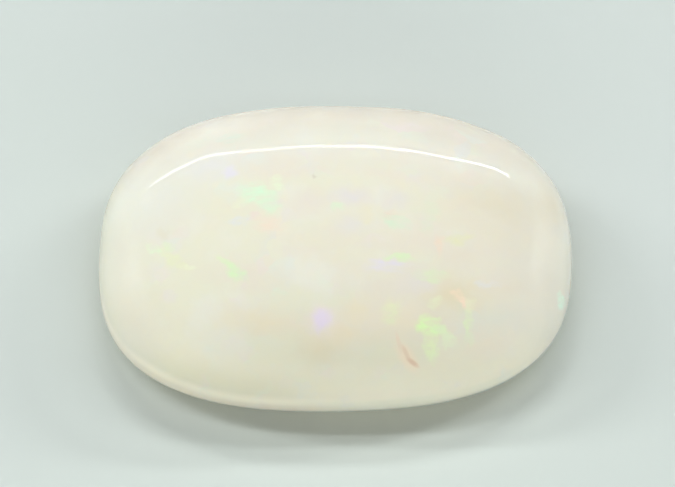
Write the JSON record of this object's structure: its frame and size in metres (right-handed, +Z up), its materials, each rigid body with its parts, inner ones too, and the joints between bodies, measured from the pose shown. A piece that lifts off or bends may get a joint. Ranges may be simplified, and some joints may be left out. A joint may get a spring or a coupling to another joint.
{
  "type": "loose opal",
  "caption": "Polished opal cabochon with a domed top, a cushion outline, a rounded edge and a flat back to rest or be set on.",
  "frame": {"origin": "on the plane of the flat back, under the middle of the stone's length and width", "axes": "+X along the length, +Y along the width away from the side seen in the picture, +Z up through the top of the dome"},
  "size_m": [0.014, 0.01, 0.0044],
  "materials": {
    "opal": "high polish, milky cream, slightly translucent, with faint bands and small patches of play of colour"
  },
  "bodies": {
    "root": {"opal": "opal"}
  },
  "joints": []
}
